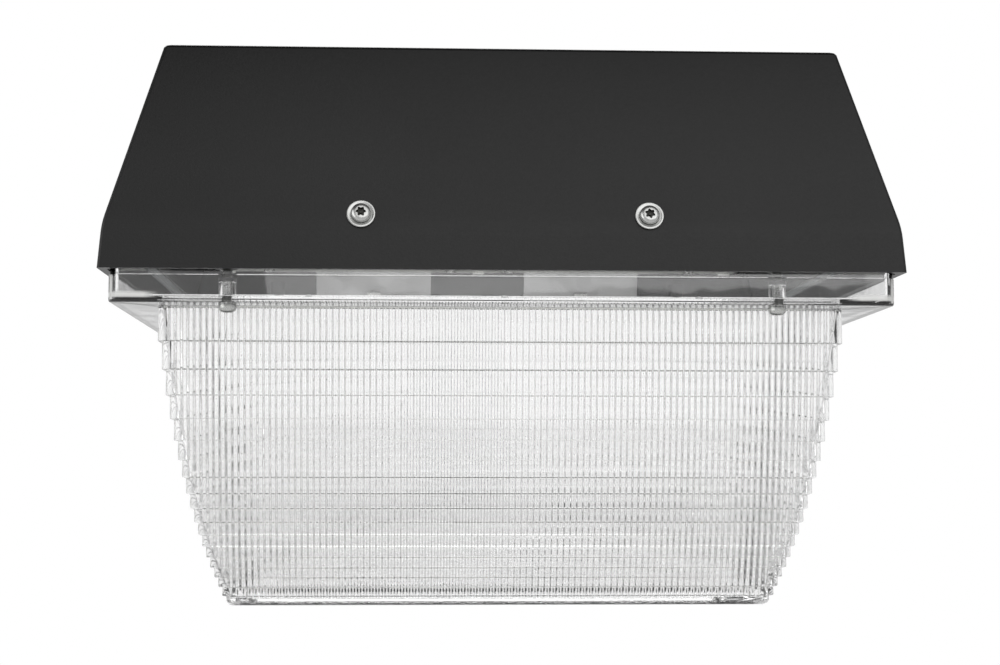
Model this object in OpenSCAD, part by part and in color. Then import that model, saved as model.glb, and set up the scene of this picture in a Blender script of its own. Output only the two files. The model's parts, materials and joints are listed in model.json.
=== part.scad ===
// Square ceiling canopy light: a cast housing with sloped sides, a clear stepped drop lens
// and a gear tray with light-emitting diodes inside.
// The origin is the centre of the ceiling face, +Z points up into the ceiling,
// and -Y is the front.

/* [Housing] */
// Width of the square housing over the lower edge of its skirt
base_w = 305; // [285:1:340]
// Height of the housing, ceiling face to lower edge of the skirt
housing_h = 89.5; // [86:0.5:110]
// Height of the skirt below the knee
skirt_h = 17; // [16:0.5:22]
// How far the skirt flares out on each side below the knee
skirt_flare = 1.3; // [0.5:0.1:2]
// How far each side leans in between the knee and the ceiling face
lean_in = 20; // [10:0.5:26]
// Wall thickness of the casting
wall = 3; // [2.5:0.1:3.6]
// Thickness of the top plate
top_t = 4; // [3:0.1:6]
// Thickness of the skirt at its lower edge
skirt_t = 3; // [2.6:0.1:4]
// Radius of the upright outer corners
corner_r = 1.5; // [1.5:0.5:6]
// Radius of the upright inner corners
inner_corner_r = 4; // [2:0.5:8]
// Radius that softens the knee
knee_r = 40; // [15:1:50]
// Radius on the edge of the ceiling face
edge_r = 1.2; // [0.5:0.1:2.5]
// Height of the stiffening ribs under the top plate
rib_h = 8; // [4:0.5:12]
// Thickness of the stiffening ribs
rib_t = 2.5; // [2:0.1:4]
// Distance of the ribs from the centre
rib_at = 70; // [62:1:85]

/* [Ceiling mounting] */
// Radius of the threaded conduit entry
entry_r = 10; // [8:0.1:12]
// Depth of the conduit entry through its boss
entry_depth = 16; // [12:0.5:20]
// Outer diameter of the boss round the conduit entry
entry_boss_d = 32; // [28:0.5:40]
// Distance between the two outlet-box screw holes
box_span = 88.9; // [80:0.1:96]
// Diameter of the outlet-box screw holes
box_hole_d = 5.5; // [4.5:0.1:7]
// Side of the square of surface-mounting holes
surface_span = 200; // [180:1:210]
// Diameter of the surface-mounting holes
surface_hole_d = 6.5; // [5:0.1:8]
// Outer diameter of the foam ring on the ceiling face
foam_d = 124; // [116:1:130]
// Width of the foam ring
foam_w = 9; // [5:0.5:9]
// Depth of the groove that holds the foam ring
foam_t = 1.5; // [1:0.1:2]

/* [Lens] */
// Gap between the rim and the inside of the skirt
rim_gap = 0.6; // [0.4:0.1:1]
// Thickness of the clear upright rim
rim_t = 3; // [2.4:0.1:3.6]
// Radius of the rim's upright corners
rim_r = 4; // [4:0.5:8]
// How far the rim reaches up inside the skirt
rim_in = 10; // [8:0.5:10.5]
// How far the rim shows below the skirt
rim_out = 12.4; // [10:0.1:18]
// How far the hidden upper part of the rim is set back
rim_step = 0.5; // [0.2:0.1:0.8]
// How far below the skirt the set-back part ends
rim_step_at = 1.9; // [1:0.1:3]
// Thickness of the flange
flange_t = 2.6; // [2:0.1:3.5]
// Width of the flange from the rim's outer face to the body
flange_w = 16.5; // [15.5:0.1:22]
// Depth of the body from the flange's underside to its flat bottom
lens_drop = 117.6; // [80:0.2:140]
// How far each side of the body draws in from the top row to the last
body_taper = 25; // [15:0.5:35]
// Number of stepped rows
rows = 18; // [10:1:20]
// Extra height of the first row
first_extra = 1.5; // [0:0.1:4]
// Height of the last row as a share of the first
row_shrink = 0.31; // [0.2:0.01:1]
// How quickly the rows get shorter towards the bottom
row_crowding = 2.1; // [1:0.01:2.5]
// Wall thickness of the body at the top of each row
lens_wall = 2.6; // [2:0.1:3.4]
// Thickness of the flat bottom
bottom_t = 3; // [2.4:0.1:4]
// Radius of the body's upright corners
body_r = 4; // [3:0.5:8]
// Radius on the edge of the flat bottom
bottom_r = 2.5; // [1:0.1:3]
// Distance between the small nubs on the flange
nub_pitch = 74; // [50:1:80]
// Diameter of the small nubs
nub_d = 3; // [2:0.1:4]
// Height of the small nubs
nub_h = 1.1; // [0.5:0.1:1.5]

/* [Lens fixing] */
// Distance between the left and right lens screws
lens_screw_span = 210; // [180:1:230]
// Thread diameter of the lens screws
lens_screw_d = 4; // [3.5:0.1:4.5]
// Length of the lens screws under the head
lens_screw_len = 28; // [26:0.5:30]
// Head diameter of the lens screws
lens_head_d = 6.8; // [6:0.1:7.2]
// Head height of the lens screws
lens_head_h = 2.8; // [2:0.1:3.2]
// Radial running gap of the lens screws in their holes
screw_gap = 0.08; // [0.05:0.01:0.1]
// Outer diameter of the clear boss on the flange
lens_boss_d = 6.6; // [6.4:0.1:7]
// Height of the clear boss above the flange
lens_boss_h = 5.8; // [4:0.1:6.5]
// Thickness of the rib that ties the boss to the rim
boss_rib_t = 0.9; // [0.6:0.1:1.5]
// Outer diameter of the retaining ring on the screw
retainer_d = 7; // [6:0.1:8]
// Thickness of the retaining ring
retainer_t = 1.4; // [1:0.1:1.8]
// Outer diameter of the cast boss that takes the lens screw
cast_boss_d = 7.6; // [7.2:0.1:8]
// How far above the skirt's lower edge the cast boss ends
cast_boss_up = 1; // [0.5:0.1:3]
// Height of the web behind the cast boss
web_h = 14; // [8:0.5:16]
// Thickness of the web behind the cast boss
web_t = 5; // [3:0.1:7]

/* [Gasket seat] */
// Thickness of the lens gasket when the lens is screwed up
gasket_t = 2; // [1.5:0.1:2.4]
// Width of the lens gasket
gasket_w = 4.6; // [3.5:0.1:5]
// Gap between the gasket and the inside of the skirt
gasket_gap = 0.4; // [0.2:0.1:0.8]
// Width of the seat that the gasket lies on
shelf_w = 6.3; // [6:0.1:7]
// Thickness of the seat
shelf_t = 3; // [2:0.1:3.4]

/* [Side screws] */
// Distance between the two screws on a side
side_span = 109; // [90:1:150]
// Height of the screws above the skirt's lower edge
side_up = 21; // [21:0.1:24]
// Thread diameter of the side screws
side_d = 4; // [3.5:0.1:4.5]
// Length of the side screws under the head
side_len = 17.5; // [17:0.5:20]
// Head diameter of the side screws
side_head_d = 7.4; // [7:0.1:9]
// Head height of the side screws
side_head_h = 2; // [2:0.1:3.5]
// Outer diameter of the flat washers
washer_d = 10.9; // [9.5:0.1:12]
// Thickness of the flat washers
washer_t = 1; // [0.8:0.1:1.5]
// Gap all round a side screw in its holes
side_gap = 0.2; // [0.1:0.05:0.4]
// Diameter of the cast pads inside the housing
pad_d = 11; // [10:0.5:12]
// Height of the cast pads
pad_h = 6; // [5.5:0.1:8]

/* [Gear tray] */
// Height of the tray's underside above the skirt's lower edge
tray_up = 32; // [31:0.5:36]
// Sheet thickness of the tray
tray_t = 2; // [1.5:0.1:2.5]
// Width of the turned-down tabs
tab_w = 60; // [30:1:80]
// How far a tab reaches below its screw
tab_low = 4; // [3.6:0.1:4.2]
// Gap between a tab and its cast pad
tab_gap = 0.1; // [0.05:0.05:0.3]
// Width of the square nuts on the tabs
nut_w = 7; // [6:0.1:7.2]
// Thickness of the square nuts
nut_t = 3.2; // [2:0.1:4]
// Thickness of the white reflector sheet
reflector_t = 0.8; // [0.5:0.1:1.2]
// Margin between the reflector and the edge of the tray
reflector_margin = 3; // [2:0.5:8]
// Head diameter of the reflector rivets
rivet_d = 6; // [5:0.1:7]
// Head height of the reflector rivets
rivet_h = 1.2; // [0.8:0.1:1.6]
// Outer diameter of the cable grommet
grommet_d = 15; // [12:0.5:15.5]
// Bore of the cable grommet
grommet_bore = 8; // [6:0.5:9]
// Thickness of each lip of the grommet
grommet_lip = 1.5; // [1:0.1:2]

/* [Light boards] */
// Side of each square board
board_w = 104; // [90:1:110]
// Gap between neighbouring boards
board_gap = 18; // [16:0.5:24]
// Thickness of the boards
board_t = 1.6; // [1:0.1:2]
// Thickness of the thermal pads behind the boards
thermal_t = 0.5; // [0.3:0.1:1]
// Diodes along each side of a board
led_rows = 4; // [2:1:5]
// Distance between diodes
led_pitch = 22; // [12:1:23]
// Side of a diode package
led_w = 3.5; // [3:0.1:5]
// Height of a diode package
led_t = 0.8; // [0.5:0.1:1.2]
// Distance of a board screw from the board's edges
board_screw_in = 6; // [5:0.5:8]
// Thread diameter of the board screws
board_screw_d = 3; // [2.5:0.1:3.5]
// Head diameter of the board screws
board_head_d = 5.6; // [5:0.1:6.5]
// Head height of the board screws
board_head_h = 2; // [1.5:0.1:2.5]
// Size of a board connector
connector_size = [7, 10, 4];
// Distance of a connector's middle from the inner edge of its board
connector_in = 8; // [5:0.5:12]

/* [Gear] */
// Length of the driver case
driver_l = 156; // [130:1:160]
// Width of the driver case
driver_w = 60; // [50:1:64]
// Height of the driver case with its cover
driver_h = 34; // [26:0.5:34]
// Sheet thickness of the driver case
driver_t = 1.5; // [1:0.1:2]
// Length of the foot at each end of the driver case
foot_l = 14; // [12:0.5:18]
// Distance of the driver's centre line behind the tray's centre
driver_back = 50; // [46:1:60]
// Distance of the driver's foot screws from the sides of its case
foot_screw_in = 12; // [8:1:18]
// Depth of the lid over the driver case
cover_h = 12; // [6:1:20]
// Size of the surge module
surge_size = [52, 32, 24];
// Size of the terminal block
block_size = [44, 24, 20];
// Length of the foot at each end of the surge module and the terminal block
gear_foot_l = 12; // [10:0.5:14]
// Thickness of the feet of the surge module and the terminal block
gear_foot_t = 3; // [2:0.5:4]
// Number of poles on the terminal block
poles = 3; // [2:1:4]
// Diameter of the wire holes in the terminal block
wire_hole_d = 3.4; // [2.5:0.1:3.8]
// Distance of the surge module and terminal block from the tray's middle line
side_by = 60; // [50:1:66]
// Distance of the surge module and terminal block in front of the tray's centre
gear_front = 55; // [45:1:66]
// Thread diameter of the screws on the tray
tray_screw_d = 4; // [3.5:0.1:4.5]
// Head diameter of the screws on the tray
tray_head_d = 7; // [6:0.1:8]
// Head height of the screws on the tray
tray_head_h = 2.4; // [2:0.1:3]
// Distance of the earth screw from the tray's edges
earth_in = 13; // [10:0.5:20]
// Width across the earth screw's hexagon
earth_w = 8; // [7:0.5:10]
// Height of the earth screw's hexagon
earth_h = 3.2; // [2.5:0.1:5]
// Thickness of the earth screw's washer
earth_washer_t = 0.8; // [0.5:0.1:1.2]

/* [Hidden] */

$fn = 48;
// Thickness of the slices that a hull joins
slice = 0.01;
// Overlap that makes joined solids share volume
bite = 0.5;
// Overshoot of a cutter past a face
past = 1;

// Housing levels and widths
z_skirt = -housing_h;
z_knee = z_skirt + skirt_h;
base_half = base_w / 2;
knee_half = base_half - skirt_flare;
top_half = knee_half - lean_in;
lean_angle = atan(lean_in / (housing_h - skirt_h));
flare_angle = atan(skirt_flare / skirt_h);

// Half width over the outer faces at height z
function outer_half(z) = z >= z_knee
    ? top_half - z * tan(lean_angle)
    : knee_half + (z_knee - z) * tan(flare_angle);
// Half width over the inner faces at height z
function inner_half(z) = outer_half(z) - wall / cos(lean_angle);

// The knee is an arc that touches the slope and the skirt
knee_steps = 4;
knee_run = knee_r * tan((lean_angle - flare_angle) / 2);
knee_centre = [
    knee_half - knee_run * sin(lean_angle) - knee_r * cos(lean_angle),
    z_knee + knee_run * cos(lean_angle) - knee_r * sin(lean_angle)
];
function knee_point(i) = let (a = lean_angle + (flare_angle - lean_angle) * i / knee_steps)
    [knee_centre[0] + knee_r * cos(a), knee_centre[1] + knee_r * sin(a)];
outer_rings = concat(
    [[top_half - edge_r, 0]],
    [[top_half - 0.3 * edge_r, -0.3 * edge_r]],
    [[outer_half(-edge_r), -edge_r]],
    [for (i = [0 : knee_steps]) knee_point(i)],
    [[base_half, z_skirt + slice]]
);

// Lens rim, flange and gasket seat
mouth_half = base_half - skirt_t;
rim_half = mouth_half - rim_gap;
z_rim_top = z_skirt + rim_in;
z_seat = z_rim_top + gasket_t;
z_shelf_top = z_seat + shelf_t;
shelf_half = mouth_half - shelf_w;
z_flange_low = z_skirt - rim_out;
z_flange_top = z_flange_low + flange_t;
gasket_half = mouth_half - gasket_gap;

// Lens body rows
body_half = rim_half - flange_w;
row_step = body_taper / (rows - 1);
rows_drop = lens_drop - bottom_r - first_extra;
z_bottom = z_flange_low - lens_drop;
inner_body_r = max(body_r - lens_wall, 1);
// The edge of the flat bottom is rounded in slices at these angles
round_first = 18;
round_step = 24;
function row_weight(k) = row_shrink + (1 - row_shrink) * pow(1 - k / (rows - 1), row_crowding);
function stack(k) = k <= 0 ? 0 : stack(k - 1) + row_weight(k - 1);
function row_half(k) = body_half - k * row_step;
function row_z(k) = z_flange_low - (k > 0 ? first_extra : 0) - rows_drop * stack(k) / stack(rows);

// Lens screws
lens_screw_x = lens_screw_span / 2;
lens_screw_y = (rim_half - rim_t + body_half) / 2;
z_lens_boss = z_flange_top + lens_boss_h;
z_cast_boss = z_skirt + cast_boss_up;
z_screw_tip = z_flange_low + lens_screw_len;
z_web_top = z_seat + web_h;
tip_room = 1.5;

// Side screws, in a frame whose +Z leaves the sloped face
z_side = z_skirt + side_up;
pad_depth = wall + pad_h;
tab_depth = pad_depth + tab_gap;

// Tray and what hangs below it
z_tray = z_skirt + tray_up;
z_tray_top = z_tray + tray_t;
tray_half = outer_half(z_tray_top) - tab_depth / cos(lean_angle);
tray_r = 3;
tab_up = (z_tray_top - z_side + tab_depth * sin(lean_angle)) / cos(lean_angle);
reflector_half = tray_half - reflector_margin;
z_reflector = z_tray - reflector_t;
window_gap = 0.6;
rivet_shank_d = 3;
rivet_in = 5;
rivet_at = reflector_half - rivet_in;
z_board = z_tray - thermal_t - board_t;
board_pitch = board_w + board_gap;
board_hole_gap = 0.15;
board_screw_at = board_w / 2 - board_screw_in;
connector_at = board_w / 2 - connector_in;
grommet_waist_d = grommet_d - 4;
grommet_hole_d = grommet_waist_d + 0.2;

// Gear on the tray
tray_screw_gap = 0.15;
driver_foot_at = driver_l / 2 + foot_l / 2;
driver_foot_y = driver_w / 2 - foot_screw_in;
cover_gap = 0.2;
surge_at = [-side_by, -gear_front];
block_at = [side_by, -gear_front];
pole_pitch = block_size[0] / (poles + 1);
z_wire = z_tray_top + block_size[2] * 0.4;
earth_at = tray_half - earth_in;

module rounded_square(half, r) {
    square([2 * (half - r), 2 * half], center = true);
    square([2 * half, 2 * (half - r)], center = true);
    for (x = [-1, 1], y = [-1, 1])
        translate([x * (half - r), y * (half - r)]) circle(r);
}

// Square plate with rounded corners between two heights
module plate(half, r, z_low, z_high) {
    translate([0, 0, z_low]) linear_extrude(z_high - z_low) rounded_square(half, r);
}

// Square ring with rounded corners between two heights
module frame(outer, inner, r_out, r_in, z_low, z_high) {
    difference() {
        plate(outer, r_out, z_low, z_high);
        plate(inner, r_in, z_low - past, z_high + past);
    }
}

// Four thin corner slices of a rounded square, for a hull
module corner_slices(half, r, z) {
    for (x = [-1, 1], y = [-1, 1])
        translate([x * (half - r), y * (half - r), z]) cylinder(r = r, h = slice);
}

module block(size, centre, z_low) {
    translate([centre[0] - size[0] / 2, centre[1] - size[1] / 2, z_low]) cube(size);
}

module at_lens_screws() {
    for (x = [-1, 1], y = [-1, 1])
        translate([x * lens_screw_x, y * lens_screw_y, 0]) children();
}

// Frame on the sloped front face at a screw, repeated at the back
module at_side_screws() {
    for (x = [-1, 1], back = [0, 1])
        mirror([0, back, 0])
            translate([x * side_span / 2, -outer_half(z_side), z_side])
                rotate([90 - lean_angle, 0, 0]) children();
}

module at_boards() {
    for (x = [-1, 1], y = [-1, 1])
        translate([x * board_pitch / 2, y * board_pitch / 2, 0]) children();
}

module at_board_corners() {
    at_boards()
        for (x = [-1, 1], y = [-1, 1])
            translate([x * board_screw_at, y * board_screw_at, 0]) children();
}

module at_rivets() {
    for (a = [0 : 90 : 270])
        rotate([0, 0, a])
            for (x = [0, rivet_at])
                translate([x, rivet_at, 0]) children();
}

module at_driver_screws() {
    for (x = [-1, 1], y = [-1, 1])
        translate([x * driver_foot_at, driver_back + y * driver_foot_y, 0]) children();
}

// Middle of the two feet of the surge module and of the terminal block
module at_gear_screws() {
    for (x = [-1, 1]) {
        translate([surge_at[0] + x * (surge_size[0] + gear_foot_l) / 2, surge_at[1], 0]) children();
        translate([block_at[0] + x * (block_size[0] + gear_foot_l) / 2, block_at[1], 0]) children();
    }
}

// Hole for a screw through the tray or a foot on it
module tray_screw_hole(z_low, thickness) {
    translate([0, 0, z_low - past])
        cylinder(r = tray_screw_d / 2 + tray_screw_gap, h = thickness + 2 * past);
}

// Six-lobed drive recess
module star(d) {
    circle(d = 0.72 * d);
    for (a = [0 : 60 : 300])
        rotate(a) translate([0.36 * d, 0]) circle(d = 0.28 * d);
}

// Pan-head screw with its head on top of z = 0 and its thread below
module pan_screw(d, len, head_d, head_h) {
    difference() {
        union() {
            translate([0, 0, -len]) cylinder(d = d, h = len + bite);
            cylinder(d = head_d, h = head_h / 2);
            translate([0, 0, head_h / 2]) cylinder(d1 = head_d, d2 = 0.7 * head_d, h = head_h / 2);
        }
        translate([0, 0, head_h * 0.45]) linear_extrude(head_h) star(0.46 * head_d);
    }
}

module housing_shell() {
    hull() {
        for (p = outer_rings)
            corner_slices(p[0], corner_r, p[1] - slice, $fn = 32);
    }
}

module housing_space() {
    hull() {
        corner_slices(inner_half(-top_t), inner_corner_r, -top_t - slice, $fn = 32);
        corner_slices(inner_half(z_knee), inner_corner_r, z_knee - slice, $fn = 32);
        corner_slices(inner_half(z_shelf_top), inner_corner_r, z_shelf_top - slice, $fn = 32);
    }
    plate(shelf_half, inner_corner_r, z_seat - bite, z_shelf_top + bite);
    plate(mouth_half, rim_r + rim_gap, z_skirt - past, z_seat);
}

// Ribs, bosses, webs and pads that stand inside the casting
module housing_features() {
    for (a = [0, 90], side = [-1, 1])
        rotate([0, 0, a])
            translate([-base_half, side * rib_at - rib_t / 2, -top_t - rib_h])
                cube([base_w, rib_t, rib_h + bite]);
    translate([0, 0, -entry_depth]) cylinder(d = entry_boss_d, h = entry_depth);
    at_lens_screws()
        translate([0, 0, z_cast_boss]) cylinder(d = cast_boss_d, h = z_web_top - z_cast_boss);
    for (x = [-1, 1], back = [0, 1])
        mirror([0, back, 0])
            translate([x * lens_screw_x - web_t / 2, lens_screw_y, z_seat])
                cube([web_t, base_half - lens_screw_y, web_h]);
    at_side_screws()
        translate([0, 0, -pad_depth]) cylinder(d = pad_d, h = pad_depth);
}

module housing_holes() {
    translate([0, 0, -entry_depth - past]) cylinder(r = entry_r, h = entry_depth + 2 * past);
    for (x = [-1, 1])
        translate([x * box_span / 2, 0, -top_t - past])
            cylinder(d = box_hole_d, h = top_t + 2 * past);
    for (x = [-1, 1], y = [-1, 1])
        translate([x * surface_span / 2, y * surface_span / 2, -top_t - past])
            cylinder(d = surface_hole_d, h = top_t + 2 * past);
    difference() {
        translate([0, 0, -foam_t]) cylinder(d = foam_d, h = foam_t + past, $fn = 96);
        translate([0, 0, -foam_t - past])
            cylinder(d = foam_d - 2 * foam_w, h = foam_t + 3 * past, $fn = 96);
    }
    at_side_screws()
        translate([0, 0, -pad_depth - past])
            cylinder(r = side_d / 2 + side_gap, h = pad_depth + 2 * past);
    at_lens_screws()
        translate([0, 0, z_cast_boss - past])
            cylinder(r = lens_screw_d / 2 + screw_gap, h = z_screw_tip + tip_room - z_cast_boss + past);
}

module housing() {
    color("#35363a")
        difference() {
            housing_shell();
            difference() {
                housing_space();
                housing_features();
            }
            housing_holes();
        }
}

// Foam ring in the groove of the ceiling face
module ceiling_gasket() {
    color("#1d1d1f")
        difference() {
            translate([0, 0, -foam_t]) cylinder(d = foam_d, h = foam_t, $fn = 96);
            translate([0, 0, -foam_t - past])
                cylinder(d = foam_d - 2 * foam_w, h = foam_t + 2 * past, $fn = 96);
        }
}

module lens_gasket() {
    color("#8c8c8c")
        frame(gasket_half, gasket_half - gasket_w, rim_r, 2, z_rim_top, z_seat);
}

module side_screws() {
    color("#c9c9c6")
        at_side_screws()
            translate([0, 0, washer_t]) pan_screw(side_d, side_len, side_head_d, side_head_h);
}

module side_washers() {
    color("#d6d6d4")
        at_side_screws()
            difference() {
                cylinder(d = washer_d, h = washer_t);
                translate([0, 0, -past]) cylinder(r = side_d / 2 + side_gap, h = washer_t + 2 * past);
            }
}

// Square nuts welded behind the tabs
module tray_nuts() {
    color("#a9a9a4")
        at_side_screws()
            translate([0, 0, -tab_depth - tray_t - nut_t])
                difference() {
                    translate([-nut_w / 2, -nut_w / 2, 0]) cube([nut_w, nut_w, nut_t]);
                    translate([0, 0, -past]) cylinder(r = side_d / 2 + screw_gap, h = nut_t + 2 * past);
                }
}

module gear_tray() {
    color("#c4c6c8")
        difference() {
            union() {
                plate(tray_half, tray_r, z_tray, z_tray_top);
                at_side_screws()
                    translate([-tab_w / 2, -tab_low, -tab_depth - tray_t])
                        cube([tab_w, tab_low + tab_up, tray_t]);
            }
            at_side_screws()
                translate([0, 0, -tab_depth - tray_t - past])
                    cylinder(r = side_d / 2 + side_gap, h = tray_t + 2 * past);
            at_board_corners()
                translate([0, 0, z_tray - past])
                    cylinder(r = board_screw_d / 2 + board_hole_gap, h = tray_t + 2 * past);
            at_driver_screws() tray_screw_hole(z_tray, tray_t);
            at_gear_screws() tray_screw_hole(z_tray, tray_t);
            at_rivets()
                translate([0, 0, z_tray - past])
                    cylinder(r = rivet_shank_d / 2 + board_hole_gap, h = tray_t + 2 * past);
            translate([earth_at, -earth_at, 0]) tray_screw_hole(z_tray, tray_t);
            translate([0, 0, z_tray - past]) cylinder(d = grommet_hole_d, h = tray_t + 2 * past);
        }
}

// White sheet under the tray with a window for each board
module reflector() {
    color("#f2f2ee")
        difference() {
            plate(reflector_half, tray_r, z_reflector, z_tray);
            at_boards()
                translate([0, 0, z_reflector - past])
                    linear_extrude(reflector_t + 2 * past)
                        square(board_w + 2 * window_gap, center = true);
            at_rivets()
                translate([0, 0, z_reflector - past])
                    cylinder(r = rivet_shank_d / 2 + board_hole_gap, h = reflector_t + 2 * past);
            translate([0, 0, z_reflector - past])
                cylinder(d = grommet_hole_d, h = reflector_t + 2 * past);
        }
}

module reflector_rivets() {
    color("#e8e8e4")
        at_rivets() {
            translate([0, 0, z_reflector - rivet_h]) cylinder(d = rivet_d, h = rivet_h);
            translate([0, 0, z_reflector - bite])
                cylinder(d = rivet_shank_d, h = reflector_t + tray_t + bite);
        }
}

// Rubber ring whose groove grips the tray and the reflector
module cable_grommet() {
    color("#202022")
        translate([0, 0, z_reflector])
            difference() {
                union() {
                    translate([0, 0, -grommet_lip]) cylinder(d = grommet_d, h = grommet_lip);
                    cylinder(d = grommet_waist_d, h = reflector_t + tray_t);
                    translate([0, 0, reflector_t + tray_t]) cylinder(d = grommet_d, h = grommet_lip);
                }
                translate([0, 0, -grommet_lip - past])
                    cylinder(d = grommet_bore, h = reflector_t + tray_t + 2 * grommet_lip + 2 * past);
            }
}

// One square layer of a board, drilled for its screws
module board_layer(z_low, thickness) {
    difference() {
        at_boards()
            translate([0, 0, z_low]) linear_extrude(thickness) square(board_w, center = true);
        at_board_corners()
            translate([0, 0, z_low - past])
                cylinder(r = board_screw_d / 2 + board_hole_gap, h = thickness + 2 * past);
    }
}

module thermal_pads() {
    color("#8f979c") board_layer(z_tray - thermal_t, thermal_t);
}

module led_boards() {
    color("#fafaf5") board_layer(z_board, board_t);
}

module led_chips() {
    color("#f3d34a")
        at_boards()
            for (i = [0 : led_rows - 1], j = [0 : led_rows - 1])
                block(
                    [led_w, led_w, led_t],
                    led_pitch * [i - (led_rows - 1) / 2, j - (led_rows - 1) / 2],
                    z_board - led_t
                );
}

module board_screws() {
    color("#b8b8b4")
        at_board_corners()
            translate([0, 0, z_board])
                mirror([0, 0, 1])
                    pan_screw(board_screw_d, board_t + thermal_t + tray_t, board_head_d, board_head_h);
}

module board_connectors() {
    color("#efefe9")
        for (x = [-1, 1], y = [-1, 1])
            block(
                connector_size,
                [x * (board_pitch / 2 - connector_at), y * board_pitch / 2],
                z_board - connector_size[2]
            );
}

// Folded sheet tray with a foot at each end
module driver_case() {
    color("#d9dadb")
        difference() {
            union() {
                block([driver_l, driver_w, driver_h - driver_t], [0, driver_back], z_tray_top);
                block([driver_l + 2 * foot_l, driver_w, driver_t], [0, driver_back], z_tray_top);
            }
            block(
                [driver_l - 2 * driver_t, driver_w - 2 * driver_t, driver_h],
                [0, driver_back],
                z_tray_top + driver_t
            );
            at_driver_screws() tray_screw_hole(z_tray_top, driver_t);
        }
}

// Lid that laps over the sides of the driver case
module driver_cover() {
    inner = [driver_l + 2 * cover_gap, driver_w + 2 * cover_gap, cover_h];
    outer = [inner[0] + 2 * driver_t, inner[1] + 2 * driver_t, cover_h];
    z_cover = z_tray_top + driver_h - cover_h;
    color("#e4e5e6")
        difference() {
            block(outer, [0, driver_back], z_cover);
            block(inner, [0, driver_back], z_cover - driver_t);
        }
}

// Feet that stick out at both ends of a piece of gear
module gear_feet(size, at) {
    block([size[0] + 2 * gear_foot_l, size[1] / 2, gear_foot_t], at, z_tray_top);
}

module surge_module() {
    color("#3a3f46")
        difference() {
            union() {
                block(surge_size, surge_at, z_tray_top);
                gear_feet(surge_size, surge_at);
            }
            at_gear_screws() tray_screw_hole(z_tray_top, gear_foot_t);
        }
}

module terminal_block() {
    color("#e9e6da")
        difference() {
            union() {
                block(block_size, block_at, z_tray_top);
                gear_feet(block_size, block_at);
            }
            for (i = [1 : poles])
                translate([block_at[0] - block_size[0] / 2 + i * pole_pitch, block_at[1], z_wire]) {
                    translate([0, block_size[1] / 2 + past, 0])
                        rotate([90, 0, 0]) cylinder(d = wire_hole_d, h = block_size[1] + 2 * past);
                    cylinder(d = 1.3 * wire_hole_d, h = block_size[2]);
                }
            at_gear_screws() tray_screw_hole(z_tray_top, gear_foot_t);
        }
}

// Screw through a foot of this thickness and the tray
module tray_screw(foot) {
    translate([0, 0, z_tray_top + foot])
        pan_screw(tray_screw_d, foot + tray_t, tray_head_d, tray_head_h);
}

module tray_screws() {
    color("#b4b4ae") {
        at_driver_screws() tray_screw(driver_t);
        at_gear_screws() tray_screw(gear_foot_t);
    }
}

// Green hexagon screw with a cupped washer
module earth_screw() {
    color("#2f8f4a")
        translate([earth_at, -earth_at, z_tray_top]) {
            translate([0, 0, -tray_t]) cylinder(d = tray_screw_d, h = tray_t + bite);
            cylinder(d = earth_w * 1.4, h = earth_washer_t);
            cylinder(d = earth_w / cos(30), h = earth_washer_t + earth_h, $fn = 6);
        }
}

// Stepped body: each row is a straight slab, and the rows get shorter towards the bottom
module lens_body() {
    for (k = [0 : rows - 1])
        plate(
            row_half(k),
            body_r,
            row_z(k + 1) - (k == rows - 1 ? bottom_r * sin(round_first) : 0),
            row_z(k) + bite
        );
    hull() {
        for (a = [round_first : round_step : 90])
            corner_slices(
                row_half(rows - 1) - bottom_r * (1 - cos(a)),
                body_r,
                row_z(rows) - bottom_r * sin(a),
                $fn = 32
            );
    }
}

// Smooth hollow that follows the row edges at an even wall
module lens_hollow() {
    hull() {
        corner_slices(body_half - lens_wall, inner_body_r, z_flange_top + past, $fn = 32);
        for (k = [0 : rows - 1])
            corner_slices(row_half(k) - lens_wall, inner_body_r, row_z(k), $fn = 32);
        corner_slices(
            row_half(rows - 1) - lens_wall - row_step / 2,
            inner_body_r,
            z_bottom + bottom_t,
            $fn = 32
        );
    }
}

// Upright rim, set back where the skirt hides it, and the flange
module lens_rim() {
    z_step = z_skirt - rim_step_at;
    rim_inner = rim_half - rim_t;
    inner_r = rim_r - rim_t;
    frame(rim_half, rim_inner, rim_r, inner_r, z_flange_low, z_step);
    frame(rim_half - rim_step, rim_inner, rim_r - rim_step, inner_r, z_step, z_rim_top);
    plate(rim_half, rim_r, z_flange_low, z_flange_top);
}

// Screw bosses with a rib to the rim, and the small nubs on the flange
module lens_bosses() {
    z_low = z_flange_low + bite;
    boss_h = z_lens_boss - z_low;
    rib_l = rim_half - rim_t / 2 - lens_screw_y;
    at_lens_screws()
        translate([0, 0, z_low]) cylinder(d = lens_boss_d, h = boss_h);
    for (x = [-1, 1], back = [0, 1])
        mirror([0, back, 0])
            translate([x * lens_screw_x - boss_rib_t / 2, lens_screw_y, z_low])
                cube([boss_rib_t, rib_l, boss_h]);
    for (x = [-1 : 1], y = [-1, 1])
        translate([x * nub_pitch, y * (rim_half - rim_t - nub_d), z_flange_top - bite])
            cylinder(d = nub_d, h = nub_h + bite);
}

module lens() {
    color([0.86, 0.9, 0.93, 0.45])
        difference() {
            union() {
                lens_rim();
                lens_body();
                lens_bosses();
            }
            lens_hollow();
            at_lens_screws()
                translate([0, 0, z_flange_low - past])
                    cylinder(r = lens_screw_d / 2 + screw_gap, h = z_lens_boss - z_flange_low + 2 * past);
        }
}

// Screw that hangs head down under the flange
module lens_screw(x, y) {
    color("#b9bab8")
        translate([x * lens_screw_x, y * lens_screw_y, z_flange_low])
            mirror([0, 0, 1])
                pan_screw(lens_screw_d, lens_screw_len, lens_head_d, lens_head_h);
}

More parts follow.
